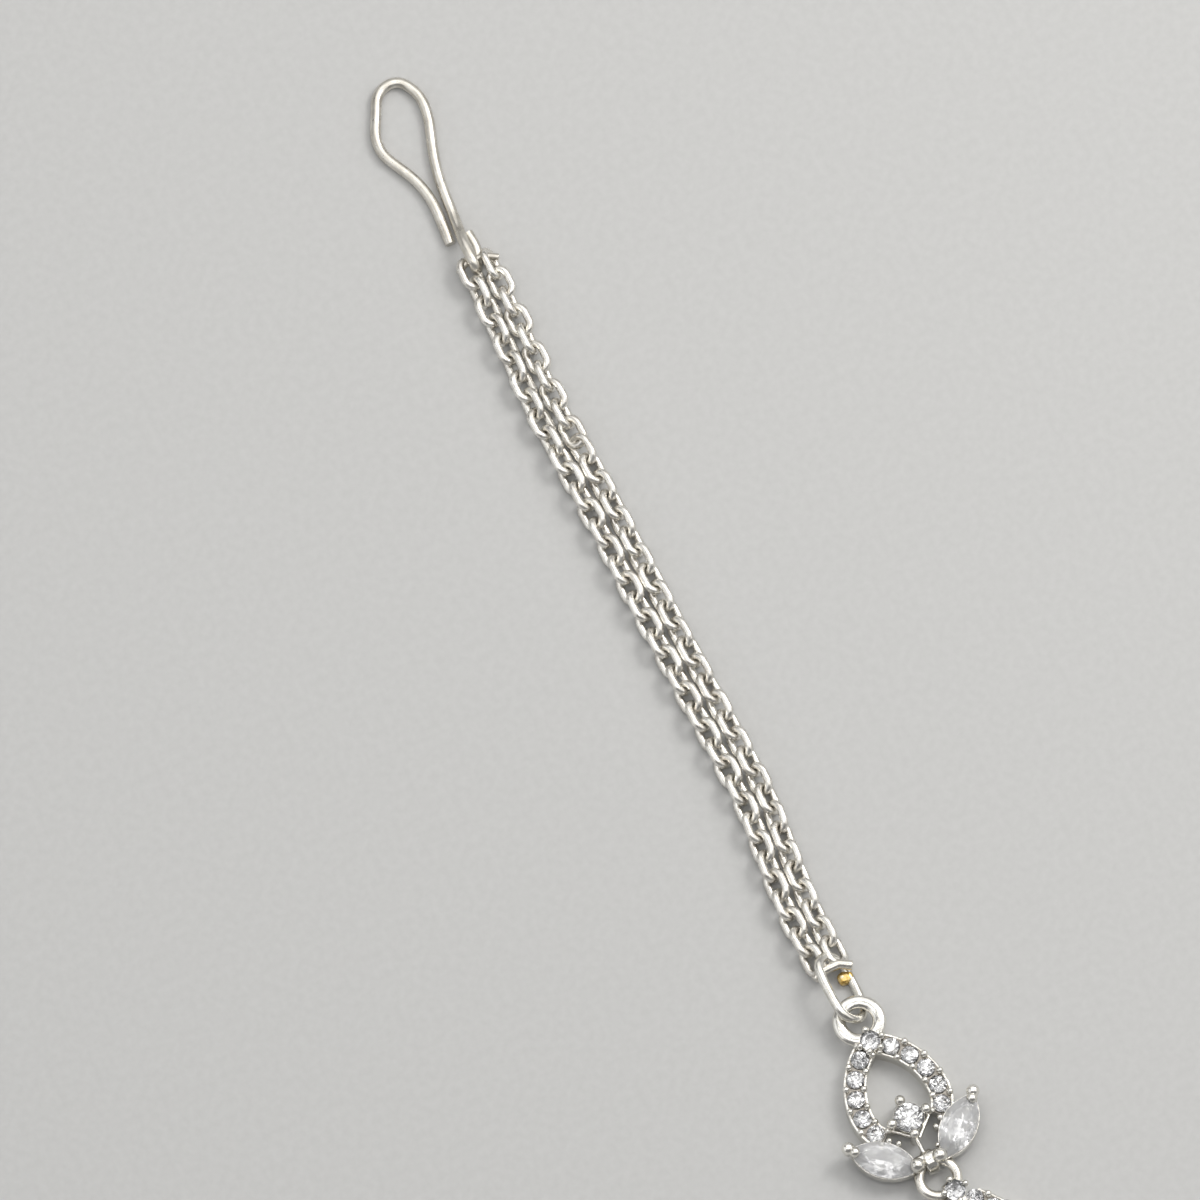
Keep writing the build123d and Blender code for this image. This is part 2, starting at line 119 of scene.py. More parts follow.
# A cut's table, star and foot are sizes over the girdle's, the foot's along and across. Its crown,
# girdle and back are heights, and uneven is how far its inner corners stray.
CUT_LENGTHS = ("crown", "girdle", "back", "uneven")
PAVED_CUT = {  # its lengths are over the stone's radius
    "table": 0.54, "star": 0.78, "foot": (0.10, 0.10),
    "crown": 0.32, "girdle": 0.05, "back": 0.86, "uneven": 0.13,
}
TIP_CUT = {**PAVED_CUT, "back": 0.19}  # shallow, because its seat is closed
ROUND_CUT = {
    "table": 0.56, "star": 0.79, "foot": (0.08, 0.08),
    "crown": 0.50, "girdle": 0.06, "back": 1.20, "uneven": 0.12,
}
ROUND_RADIUS = 1.45
ROUND_AT = (0, -1.90, 2.41)  # its girdle's upper edge, from the centre of the motif's bowl
MARQUISE_CUT = {
    "table": 0.60, "star": 0.80, "foot": (0.40, 0.05),
    "crown": 0.62, "girdle": 0.10, "back": 1.25, "uneven": 0.16,
}
MARQUISE_LENGTH = 7.0
MARQUISE_WIDTH = 3.5
MARQUISE_ANGLE = 41.5  # degrees, outer tip up
MARQUISE_Z = 2.30  # its girdle's upper edge


def brilliant(outline, cut, draw):
    """A brilliant-cut stone whose girdle's upper edge is at z = 0.

    outline is its girdle's points. Its crown is material 0 and its foiled back is 1.
    """
    crown, girdle, back, uneven = (cut[name] for name in CUT_LENGTHS)
    points = []

    def ring(first, step, sizes, z, stray=0.0):
        """Adds the outline's points from first by step, resized, and gives their numbers.

        Every point draws two numbers, even where it does not stray.
        """
        start = len(points)
        for x, y in outline[first::step]:
            x = x * sizes[0] + draw.uniform(-stray, stray)
            points.append((x, y * sizes[1] + draw.uniform(-stray, stray), z))
        return range(start, len(points))

    slope = 1 - (cut["star"] - cut["table"]) / (1 - cut["table"])
    table = ring(0, 2, (cut["table"], cut["table"]), crown)
    star = ring(1, 2, (cut["star"], cut["star"]), crown * slope * STAR_LIFT, uneven / 2)
    top = ring(0, 1, (1, 1), 0)
    low = ring(0, 1, (1, 1), -girdle)
    sizes = [size + (1 - size) * BACK_MIDDLE for size in cut["foot"]]
    mid = ring(1, 2, sizes, -girdle - back * (1 - BACK_MIDDLE) * BACK_BULGE, uneven)
    foot = ring(0, 2, cut["foot"], -girdle - back, uneven / 3)
    crown_faces = [tuple(table)]
    back_faces = [tuple(reversed(foot))]
    for i in range(len(table)):
        after, before = (i + 1) % len(table), (i - 1) % len(table)
        a, b, c = 2 * i, 2 * i + 1, (2 * i + 2) % len(outline)
        crown_faces += [
            (table[i], star[i], table[after]),
            (table[i], star[before], top[a], star[i]),
            (star[i], top[a], top[b]),
            (star[i], top[b], top[c]),
            (top[a], low[a], low[b], top[b]),
            (top[b], low[b], low[c], top[c]),
        ]
        back_faces += [
            (mid[i], low[b], low[a]),
            (mid[i], low[c], low[b]),
            (foot[i], mid[i], low[a], mid[before]),
            (foot[i], foot[after], mid[i]),
        ]
    return points, crown_faces + back_faces, [0] * len(crown_faces) + [1] * len(back_faces)


def round_outline(radius):
    """Girdle points round a circle."""
    turns = [2 * i * math.pi / SIDES for i in range(SIDES)]
    return [(radius * math.cos(turn), radius * math.sin(turn)) for turn in turns]


def small_round(radius, cut, draw):
    """A small round stone; its cut's lengths are over its radius."""
    lengths = {name: cut[name] * radius for name in CUT_LENGTHS}
    return brilliant(round_outline(radius), {**cut, **lengths}, draw)


def marquise_outline():
    """Girdle points evenly spaced along a marquise's two arcs; each arc starts at a tip."""
    half, side = MARQUISE_LENGTH / 2, MARQUISE_WIDTH / 2
    radius = (half**2 + side**2) / (2 * side)
    span = math.asin(half / radius)
    arc = SIDES // 2
    points = []
    for i in range(SIDES):
        sign = 1 if i < arc else -1
        angle = span * (1 - (i % arc) / (arc / 2))
        across = radius * math.cos(angle) - radius + side
        points.append((sign * radius * math.sin(angle), sign * across))
    return points


def large_stones(motif, clear, milky, draw):
    """The round stone and the two marquises, in place of the CAD's plain ones."""
    gem = Parts()
    shape = brilliant(round_outline(ROUND_RADIUS), ROUND_CUT, draw)
    gem.add(shape, Matrix.Translation(motif + Vector(ROUND_AT)))
    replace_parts(mesh_piece("round_brilliant", gem, clear, False), "round_stone")
    for side, word in ((-1, "left"), (1, "right")):
        low, high = box_mm("marquise_stone_" + word)
        middle = (low + high) / 2
        turn = Matrix.Rotation(math.radians(MARQUISE_ANGLE * side), 4, "Z")
        gem = Parts()
        shape = brilliant(marquise_outline(), MARQUISE_CUT, draw)
        gem.add(shape, Matrix.Translation(Vector((middle.x, middle.y, MARQUISE_Z))) @ turn)
        piece = mesh_piece("marquise_brilliant_" + word, gem, milky, False)
        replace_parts(piece, "marquise_stone_" + word)


# --- paved pear frames ---------------------------------------------------------------------------
BAND_WIDTH = 2.25
STONE_PITCH = 2.03  # along the middle of the band; the pendant's is rounded to fit its stones
PAVE_RADIUS = 0.90
PAVE_GIRDLE_Z = 1.80
PAVE_TILT = 6.0  # degrees that a paved stone may lean each way
TIP_TILT = 4.0  # degrees that a tip stone leans each way
BEAD_RADIUS = 0.36
BEAD_Z = 1.92
BEAD_OFFSET = 0.87  # from the middle of the band
BEAD_SIZES = (0.92, 1.02)  # a bead's radius over its stated one, at random
BEAD_HEIGHTS = (0.90, 1.05)  # a bead's height over its radius, at random
POST_SHAPE = [(1.0, 0.5), (0.5, 2.6)]  # of a bead's post: radius and drop, over the bead's radius

# Each pear is its bowl's radius, its apex's distance from the bowl's centre, and the degrees above
# the widest point where its flanks start. Tips and beads are x, y, z and radius, from the bowl's
# centre.
MOTIF_PEAR = (5.17, 7.90, 0.0)
MOTIF_STONES = 5  # on each arm
MOTIF_TIP_Z = 2.58
MOTIF_TIP_RADIUS = 1.02
MOTIF_TIP_BEADS = [  # their x and y are from the tip stone's
    (0.02, 1.16, 2.62, 0.36),
    (-1.16, -0.10, 2.55, 0.36),
    (1.18, 0.00, 2.55, 0.36),
    (-0.55, -0.98, 2.58, 0.34),
    (0.60, -1.00, 2.58, 0.34),
]
MARQUISE_BEAD = (1.32, -5.49, 2.05, 0.27)  # on the right marquise's wall
PENDANT_PEAR = (PENDANT_BOWL, 9.60, 25.0)
PENDANT_TIP = (0, 8.18, 2.58, 1.04)
PENDANT_TIP_BEADS = [
    (-0.05, 9.32, 2.62, 0.34),
    (-1.10, 8.35, 2.58, 0.34),
    (1.15, 8.35, 2.58, 0.34),
    (0.00, 7.05, 2.55, 0.34),
]


class Pear:
    """A pear outline: a round bowl and two flank arcs, tangent to it, that meet at an apex."""

    def __init__(self, bowl, apex, blend_degrees):
        self.blend = math.radians(blend_degrees)
        toward = (math.cos(self.blend), math.sin(self.blend))
        self.bowl = bowl
        self.shift = (apex**2 - bowl**2) / (2 * (bowl - apex * toward[1]))
        self.centre = (-self.shift * toward[0], -self.shift * toward[1])

    def flank(self, inset):
        """Length of one flank of the outline moved inward by inset, and its apex's angle."""
        radius = self.bowl + self.shift - inset
        apex = math.acos(-self.centre[0] / radius)
        return radius * (apex - self.blend), apex

    def half_length(self, inset):
        """Length of half the inset outline."""
        return self.flank(inset)[0] + (self.bowl - inset) * (self.blend + math.pi / 2)

    def station(self, inset, distance):
        """The point at a distance from the apex along the inset outline, and its outward angle."""
        length, apex = self.flank(inset)
        if distance < length:
            (x, y), radius = self.centre, self.bowl + self.shift - inset
            angle = apex - distance / radius
        else:
            (x, y), radius = (0, 0), self.bowl - inset
            angle = self.blend - (distance - length) / radius
        return (x + radius * math.cos(angle), y + radius * math.sin(angle)), angle


def dome(radius, squash, rings=5, around=14):
    """A bead on a post that narrows downward; squash is its height over its radius."""
    shape = []
    for i in range(1, rings + 1):
        tilt = math.pi / 2 * i / rings
        shape.append((radius * math.sin(tilt), radius * squash * math.cos(tilt)))
    shape += [(radius * wide, -radius * drop) for wide, drop in POST_SHAPE]
    points = [(0, 0, radius * squash)]
    for wide, z in shape:
        for j in range(around):
            turn = 2 * math.pi * j / around
            points.append((wide * math.cos(turn), wide * math.sin(turn), z))
    faces = [(0, 1 + j, 1 + (j + 1) % around) for j in range(around)]
    for i in range(len(shape) - 1):
        for j in range(around):
            a, b = 1 + i * around + j, 1 + i * around + (j + 1) % around
            faces.append((a, a + around, b + around, b))
    last = 1 + (len(shape) - 1) * around
    faces.append(tuple(reversed(range(last, last + around))))
    return points, faces, [0] * len(faces)


def band_points(pear, distances, offset, sides=(1, -1)):
    """Points at distances along the middle of the band, moved outward by offset."""
    found = []
    for distance in distances:
        (x, y), angle = pear.station(BAND_WIDTH / 2, distance)
        x, y = x + offset * math.cos(angle), y + offset * math.sin(angle)
        found += [(side * x, y) for side in sides]
    return found


def band_beads(pear, distances):
    """The beads along both edges of the band."""
    outer = band_points(pear, distances, BEAD_OFFSET)
    inner = band_points(pear, distances, -BEAD_OFFSET)
    return [(x, y, BEAD_Z, BEAD_RADIUS) for x, y in outer + inner]


def motif_layout():
    """The motif's paved stones, beads and tip stone."""
    pear = Pear(*MOTIF_PEAR)
    stones = band_points(pear, [i * STONE_PITCH for i in range(1, MOTIF_STONES + 1)], 0)
    beads = band_beads(pear, [(i + 0.5) * STONE_PITCH for i in range(MOTIF_STONES + 1)])
    tip_y = pear.station(BAND_WIDTH / 2, 0)[0][1]
    beads += [(x, tip_y + y, z, radius) for x, y, z, radius in MOTIF_TIP_BEADS]
    return stones, beads + [MARQUISE_BEAD], (0, tip_y, MOTIF_TIP_Z, MOTIF_TIP_RADIUS)


def pendant_layout():
    """The pendant's paved stones, beads and tip stone."""
    pear = Pear(*PENDANT_PEAR)
    half = pear.half_length(BAND_WIDTH / 2)
    count = round(half / STONE_PITCH)
    pitch = half / count
    stones = band_points(pear, [i * pitch for i in range(1, count)], 0)
    lowest = band_points(pear, [half], 0, (1,))
    beads = band_beads(pear, [(i + 0.5) * pitch for i in range(1, count)])
    return stones + lowest, beads + PENDANT_TIP_BEADS, PENDANT_TIP


def pave(name, centre, layout, clear, metal, draw):
    """The small stones and bead prongs of one frame, as two pieces."""
    stones, beads, tip = layout
    gems = Parts()
    for x, y in stones:
        tilt = Matrix.Rotation(math.radians(draw.uniform(-PAVE_TILT, PAVE_TILT)), 4, "X")
        tilt = tilt @ Matrix.Rotation(math.radians(draw.uniform(-PAVE_TILT, PAVE_TILT)), 4, "Y")
        spin = Matrix.Rotation(draw.uniform(0, math.pi), 4, "Z")
        place = Matrix.Translation(centre + Vector((x, y, PAVE_GIRDLE_Z))) @ tilt @ spin
        gems.add(small_round(PAVE_RADIUS, PAVED_CUT, draw), place)
    lean = math.radians(TIP_TILT)
    tilt = Matrix.Rotation(lean, 4, "X") @ Matrix.Rotation(lean, 4, "Y")
    place = Matrix.Translation(centre + Vector(tip[:3])) @ tilt
    gems.add(small_round(tip[3], TIP_CUT, draw), place)
    mesh_piece(name + "_stones", gems, clear, False)
    studs = Parts()
    for x, y, z, radius in beads:
        size = radius * draw.uniform(*BEAD_SIZES)
        bead = dome(size, draw.uniform(*BEAD_HEIGHTS))
        studs.add(bead, Matrix.Translation(centre + Vector((x, y, z))))
    mesh_piece(name + "_bead_prongs", studs, [metal], True)


# --- chain ---------------------------------------------------------------------------------------
STRAND_OFFSET = 1.14  # each strand's centre from the middle of the pair
# The middle of the pair from the hook to the lower end bar: x, y, z
CHAIN_ROUTE = [
    (0.35, 48.00, 1.25),
    (0.25, 40.60, 1.12),
    (-0.17, 32.00, 1.12),
    (0.34, 22.80, 1.12),
    (0.40, 11.20, 1.12),
    (0.64, -0.40, 1.12),
    (0.98, -11.40, 1.12),
    (0.25, -17.60, 1.12),
    (-0.30, -23.40, 1.12),
    (-0.18, -28.10, 1.30),
]
ROUTE_STEPS = 24  # of the route's mesh between two of its points
LINK_WIRE = 0.76
LINK_LENGTH = 3.62
LINK_WIDTH = 2.62
LINK_PITCH = 2.085
LINKS = 38  # on each strand
LINK_CLEARANCE = 0.01  # between a link and the surface
UPPER_LINKS = 10  # those near the hook, which lie flat and stand up in turn
FLAT_ROLL, UPRIGHT_ROLL = -28, 60  # degrees, of the upper links
LEAN_ROLLS = (-46, 38)  # degrees, of the links further on, in turn
ROLL_STRAY = 5.0  # degrees
YAW_STRAY = 2.5  # degrees


def strand_points(side):
    """Points along one strand's smooth route, read from its NURBS spline."""
    curve = bpy.data.curves.new("route", "CURVE")
    curve.dimensions = "3D"
    spline = curve.splines.new("NURBS")
    spline.points.add(len(CHAIN_ROUTE) - 1)
    for point, (x, y, z) in zip(spline.points, CHAIN_ROUTE):
        point.co = (x + side * STRAND_OFFSET, y, z, 1)
    spline.order_u = 3
    spline.use_endpoint_u = True
    spline.resolution_u = ROUTE_STEPS
    holder = bpy.data.objects.new("route", curve)
    bpy.context.scene.collection.objects.link(holder)
    data = bpy.data.meshes.new_from_object(holder)
    points = [v.co.copy() for v in data.vertices]
    bpy.data.objects.remove(holder)
    bpy.data.meshes.remove(data)
    bpy.data.curves.remove(curve)
    return points


def point_along(points, distance):
    """The point at a distance along a polyline, continued straight past its ends."""
    if distance <= 0:
        return points[0] + (points[1] - points[0]).normalized() * distance
    for a, b in zip(points, points[1:]):
        length = (b - a).length
        if distance <= length:
            return a.lerp(b, distance / length)
        distance -= length
    return points[-1] + (points[-1] - points[-2]).normalized() * distance


def along(points, distance):
    """The point at a distance along a polyline, and the direction there."""
    before = point_along(points, distance - LINK_PITCH / 2)
    after = point_along(points, distance + LINK_PITCH / 2)
    return point_along(points, distance), (after - before).normalized()


def oval_link(around=36, section=12):
    """One oval link lying in the XY plane, long along Y."""
    reach = (LINK_LENGTH - LINK_WIDTH) / 2
    radius = (LINK_WIDTH - LINK_WIRE) / 2
    up = Vector((0, 0, 1))
    points, faces = [], []
    for i in range(around):
        turn = 2 * math.pi * (i + 0.5) / around
        out = Vector((math.cos(turn), math.sin(turn), 0))
        middle = out * radius + Vector((0, reach if turn < math.pi else -reach, 0))
        for j in range(section):
            spin = 2 * math.pi * j / section
            points.append(middle + (out * math.cos(spin) + up * math.sin(spin)) * LINK_WIRE / 2)
    for i in range(around):
        for j in range(section):
            a, b = i * section + j, i * section + (j + 1) % section
            c, d = (a + section) % (around * section), (b + section) % (around * section)
            faces.append((a, c, d, b))
    return points, faces, [0] * len(faces)


def link_roll(side, index):
    """Roll in degrees of a link about its strand, from flat; side is -1 left and 1 right.

    Near the hook the links lie flat and stand up in turn, one strand a link behind the other.
    Further on they lean left and right in turn, and the strands mirror each other.
    """
    if index < UPPER_LINKS:
        flat = index % 2 == (0 if side < 0 else 1)
        return -side * (FLAT_ROLL if flat else UPRIGHT_ROLL)
    return -side * LEAN_ROLLS[index % 2]


def chain_links(side, material, draw):
    """One strand's links as one piece."""
    points = strand_points(side)
    total = sum((b - a).length for a, b in zip(points, points[1:]))
    links = Parts()
    shape = oval_link()
    start = (total - (LINKS - 1) * LINK_PITCH) / 2
    for i in range(LINKS):
        middle, step = along(points, start + i * LINK_PITCH)
        roll = math.radians(link_roll(side, i) + draw.uniform(-ROLL_STRAY, ROLL_STRAY))
        yaw = math.radians(draw.uniform(-YAW_STRAY, YAW_STRAY))
        across = Vector((step.y, -step.x, 0)).normalized()
        turn = Matrix((across, step, across.cross(step))).transposed().to_4x4()
        turn = turn @ Matrix.Rotation(roll, 4, "Y") @ Matrix.Rotation(yaw, 4, "Z")
        lowest = min((middle + turn @ point).z for point in shape[0])
        middle.z += max(0.0, LINK_CLEARANCE - lowest)
        links.add(shape, Matrix.Translation(middle) @ turn)
    word = "left" if side < 0 else "right"
    piece = mesh_piece("chain_links_" + word, links, [material], True)
    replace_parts(piece, "chain_strand_" + word)


# --- the jump ring's joint -----------------------------------------------------------------------
JOINT_AT = (0.88, -31.40, 0.56)
JOINT_RADII = (0.80, 0.66, 0.52)
JOINT_SQUARENESS = 3  # 2 gives an ellipsoid, and more gives a squarer lump


def lump(centre, radii, around=28, rings=16):
    """A rounded lump that is a little squared off."""
    points, faces = [], []
    for i in range(1, rings):
        tilt = math.pi * i / rings
        wide = math.sin(tilt)
        for j in range(around):
            turn = 2 * math.pi * j / around
            unit = (wide * math.cos(turn), math.cos(tilt), wide * math.sin(turn))
            swell = sum(abs(v) ** JOINT_SQUARENESS for v in unit) ** (-1 / JOINT_SQUARENESS)
            points.append(tuple(c + r * v * swell for c, r, v in zip(centre, radii, unit)))
    for i in range(rings - 2):
        for j in range(around):
            a, b = i * around + j, i * around + (j + 1) % around
            faces.append((a, b, b + around, a + around))
    last = (rings - 2) * around
    x, y, z = centre
    points += [(x, y + radii[1], z), (x, y - radii[1], z)]
    for j in range(around):
        after = (j + 1) % around
        faces.append((len(points) - 2, after, j))
        faces.append((len(points) - 1, last + j, last + after))
    return points, faces, [0] * len(faces)


def jump_ring_joint(material):
    """The bare brass lump where the jump ring's ends meet."""
    parts = Parts()
    parts.add(lump(JOINT_AT, JOINT_RADII), Matrix.Identity(4))
    mesh_piece("jump_ring_joint", parts, [material], True)


# --- nodes ---------------------------------------------------------------------------------------
NOISE_RANGE = (0.3, 0.7)  # where nearly all of a noise's values lie


def new_material(name):
    """A node material, its nodes, its links and its shader."""
    material = bpy.data.materials.new(name)
    material.use_nodes = True
    nodes = material.node_tree.nodes
    shader = nodes["Principled BSDF"]
    return material, nodes, material.node_tree.links, shader


def coordinates(nodes):
    """Object coordinates in metres."""
    return nodes.new("ShaderNodeTexCoord").outputs["Object"]


def noise(nodes, links, where, size_mm, detail=4.0):
    """Noise whose features are about size_mm across."""
    node = nodes.new("ShaderNodeTexNoise")
    node.inputs["Scale"].default_value = 1 / (size_mm * MM)
    node.inputs["Detail"].default_value = detail
    links.new(where, node.inputs["Vector"])
    return node.outputs["Fac"]


def ramp(nodes, links, value, stops):
    """Colours picked by a value; stops are (position, colour)."""
    node = nodes.new("ShaderNodeValToRGB")
    elements = node.color_ramp.elements
    for element, (position, colour) in zip(elements, stops):
        element.position, element.color = position, (*colour, 1)
    for position, colour in stops[2:]:
        element = elements.new(position)
        element.color = (*colour, 1)
    links.new(value, node.inputs["Fac"])
    return node.outputs["Color"]


def spread(nodes, links, value, low, high):
    """A noise's value mapped to a range."""
    node = nodes.new("ShaderNodeMapRange")
    node.inputs["From Min"].default_value, node.inputs["From Max"].default_value = NOISE_RANGE
    node.inputs["To Min"].default_value = low
    node.inputs["To Max"].default_value = high
    links.new(value, node.inputs["Value"])
    return node.outputs["Result"]


def bump(nodes, links, height, depth_mm, strength, normal=None):
    """A bump of about depth_mm, on top of another one's normal where that is given."""
    node = nodes.new("ShaderNodeBump")
    node.inputs["Strength"].default_value = strength
    node.inputs["Distance"].default_value = depth_mm * MM
    links.new(height, node.inputs["Height"])
    if normal:
        links.new(normal, node.inputs["Normal"])
    return node.outputs["Normal"]


# --- materials -----------------------------------------------------------------------------------
# Plated metals: light tone, dark tone, roughness's range, and the size and depth of its waviness
METALS = {
    "hook_wire": ((0.76, 0.73, 0.67), (0.58, 0.55, 0.49), (0.24, 0.42), 0.9, 0.02),
    "silver_wire": ((0.87, 0.84, 0.78), (0.70, 0.67, 0.61), (0.16, 0.30), 0.9, 0.02),
    "silver_chain": ((0.90, 0.88, 0.83), (0.72, 0.69, 0.64), (0.20, 0.36), 0.45, 0.02),
    "jump_ring_plate": ((0.84, 0.82, 0.77), (0.66, 0.64, 0.59), (0.17, 0.30), 0.9, 0.02),
    "silver_casting": ((0.89, 0.87, 0.82), (0.70, 0.68, 0.63), (0.13, 0.26), 0.55, 0.03),
}
METAL_CLOUD = 1.3  # size of the tone's clouds
CLOUD_STOPS = (0.35, 0.65)  # where a cloud's two tones are reached
METAL_POLISH = 0.5  # size of the polish's patches
PIT_SIZE, PIT_DEPTH = 0.09, 0.004
# The metal on each CAD node that shows
NODE_METALS = {
    "hook": "hook_wire",
    "upper_end_bar": "hook_wire",
    "lower_end_bar": "silver_wire",
    "link_ring": "silver_wire",
    "jump_ring": "jump_ring_plate",
    "motif_frame": "silver_casting",
    "pendant_frame": "silver_casting",
}
# Painted shade: the casting's level floor below this height, between the paved stones, gets a dark
# tone.
RECESS_TOP = 1.66  # between the paved floor at 1.59 and its rims' tops at 1.75
LEVEL_NORMAL = 0.6  # a level face's normal rises more than this
# Dark tone of the painted shade on the paved floor
RECESS_SHADE_TONE = (0.30, 0.28, 0.25)
BRASS_TONES = [(0.40, (0.62, 0.40, 0.12)), (0.58, (0.86, 0.66, 0.30)), (0.70, (0.90, 0.86, 0.76))]
CLEAR_TONES = [(0.35, (0.97, 0.97, 0.97)), (0.65, (1.0, 1.0, 1.0))]
# Foil tones: the darkest stop is painted reflection, the dark patches seen in a stone's facets.
CLEAR_FOIL = [(0.32, (0.42, 0.42, 0.43)), (0.44, (0.86, 0.86, 0.87)), (0.62, (0.98, 0.98, 0.98))]
MILKY_TONES = [(0.35, (0.90, 0.90, 0.91)), (0.65, (1.0, 1.0, 0.99))]
# Here too the darkest stop is painted reflection.
MILKY_FOIL = [(0.36, (0.45, 0.45, 0.47)), (0.47, (0.90, 0.90, 0.91)), (0.60, (0.99, 0.99, 0.99))]


def past_limit(nodes, links, vector, limit, operation):
    """1 where a vector's Z is LESS_THAN or GREATER_THAN a limit, whichever the operation is."""
    split = nodes.new("ShaderNodeSeparateXYZ")
    links.new(vector, split.inputs["Vector"])
    node = nodes.new("ShaderNodeMath")
    node.operation = operation
    node.inputs[1].default_value = limit
    links.new(split.outputs["Z"], node.inputs[0])
    return node.outputs["Value"]


def painted_recess_shade(nodes, links, where, tone):
    """A tone with painted shade: it turns dark on the level floor between the paved stones."""
    both = nodes.new("ShaderNodeMath")
    both.operation = "MULTIPLY"
    links.new(past_limit(nodes, links, where, RECESS_TOP * MM, "LESS_THAN"), both.inputs[0])
    normal = nodes.new("ShaderNodeNewGeometry").outputs["Normal"]
    links.new(past_limit(nodes, links, normal, LEVEL_NORMAL, "GREATER_THAN"), both.inputs[1])
    mix = nodes.new("ShaderNodeMix")
    mix.data_type = "RGBA"
    links.new(both.outputs["Value"], mix.inputs["Factor"])
    links.new(tone, mix.inputs["A"])
    # painted shade: the dark tone put on that floor
    mix.inputs["B"].default_value = (*RECESS_SHADE_TONE, 1)
    return mix.outputs["Result"]


def silver(name, shade_recesses=False):
    """Bright plated metal: cloudy tone, uneven polish, a soft waviness and fine pits."""
    light, dark, rough, wave_mm, wave_depth = METALS[name]
    material, nodes, links, shader = new_material(name)
    where = coordinates(nodes)
    clouds = noise(nodes, links, where, METAL_CLOUD)
    tone = ramp(nodes, links, clouds, list(zip(CLOUD_STOPS, (dark, light))))
    if shade_recesses:
        # painted shade on the level floor between the paved stones
        tone = painted_recess_shade(nodes, links, where, tone)
    links.new(tone, shader.inputs["Base Color"])
    shader.inputs["Metallic"].default_value = 1.0
    polish = spread(nodes, links, noise(nodes, links, where, METAL_POLISH), *rough)
    links.new(polish, shader.inputs["Roughness"])
    waves = noise(nodes, links, where, wave_mm, detail=2.0)
    normal = bump(nodes, links, waves, wave_depth, strength=1.0)
    pits = noise(nodes, links, where, PIT_SIZE, detail=3.0)
    normal = bump(nodes, links, pits, PIT_DEPTH, strength=0.6, normal=normal)
    links.new(normal, shader.inputs["Normal"])
    return material


def brass():
    """Bare brass with scraps of plating left on it."""
    material, nodes, links, shader = new_material("bare_brass")
    where = coordinates(nodes)
    scraps = noise(nodes, links, where, size_mm=0.5)
    links.new(ramp(nodes, links, scraps, BRASS_TONES), shader.inputs["Base Color"])
    shader.inputs["Metallic"].default_value = 1.0
    polish = noise(nodes, links, where, size_mm=0.3)
    links.new(spread(nodes, links, polish, low=0.18, high=0.36), shader.inputs["Roughness"])
    dents = noise(nodes, links, where, size_mm=0.25, detail=3.0)
    links.new(bump(nodes, links, dents, depth_mm=0.03, strength=0.8), shader.inputs["Normal"])
    return material


def stone_crown(name, tones, transmission, ior, roughness):
    """The clear front of a faceted stone, with a faint cloud inside."""
    material, nodes, links, shader = new_material(name)
    where = coordinates(nodes)
    clouds = noise(nodes, links, where, size_mm=0.9)
    links.new(ramp(nodes, links, clouds, tones), shader.inputs["Base Color"])
    shader.inputs["Transmission Weight"].default_value = transmission
    shader.inputs["IOR"].default_value = ior
    haze = noise(nodes, links, where, size_mm=0.4)
    rough = spread(nodes, links, haze, low=roughness, high=roughness * 2)
    links.new(rough, shader.inputs["Roughness"])
    return material


def stone_foil(name, tones, cloud_mm, rough):
    """The bright foil on a stone's back, dark in patches of painted reflection."""
    material, nodes, links, shader = new_material(name)
    where = coordinates(nodes)
    clouds = noise(nodes, links, where, cloud_mm)
    links.new(ramp(nodes, links, clouds, tones), shader.inputs["Base Color"])
    shader.inputs["Metallic"].default_value = 1.0
    polish = noise(nodes, links, where, size_mm=0.3)
    links.new(spread(nodes, links, polish, *rough), shader.inputs["Roughness"])
    return material


def dress(node, material):
    """Gives a CAD node its material."""
    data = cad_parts[node].data
    data.materials.clear()
    data.materials.append(material)


# --- studio --------------------------------------------------------------------------------------
VIEW_ELEVATION = math.radians(73.0)
IMAGE_UP = Vector((0.436, 0.900, 0.0)).normalized()
IMAGE_RIGHT = Vector((IMAGE_UP.y, -IMAGE_UP.x, 0.0))
VIEW_CENTRE = Vector((-3.92, 13.20, 1.20))  # the point at the middle of the image
VIEW_DISTANCE = 4000.0
VIEW_WIDTH = 116.4  # of what the camera sees at the jewel
SENSOR_WIDTH = 36.0
CLIP_RANGE = (0.01, 20.0)  # metres
FLOOR_REACH = 3.0  # metres
FLOOR_TONES = [(0.3, (0.505, 0.505, 0.50)), (0.7, (0.535, 0.535, 0.53))]
FLOOR_GRAIN = 0.8  # size of its faint clouds
# The world's brightness by height, from the horizon to straight up
WORLD_STOPS = [
    (0.0, (0.75, 0.75, 0.74)),
    (0.08, (0.60, 0.60, 0.59)),
    (0.2, (0.26, 0.26, 0.26)),
    (1.0, (0.22, 0.22, 0.22)),
]
# Lamps: name, azimuth and elevation in degrees, distance, size, watts and colour
LAMPS = [
    ("overhead_near", 265, 80, 600, (680, 280), 0.98, (1.0, 0.99, 0.97)),
    ("overhead_far", 85, 66, 600, (680, 280), 0.98, (1.0, 0.99, 0.97)),
    ("back", 85, 40, 600, (1000, 300), 0.80, (1.0, 0.99, 0.97)),
    ("left", 190, 35, 600, (600, 400), 0.60, (0.98, 0.99, 1.0)),
    ("right", 10, 38, 600, (600, 400), 0.75, (1.0, 0.99, 0.97)),
    ("key", 35, 50, 520, (180, 180), 0.75, (1.0, 0.985, 0.96)),
]


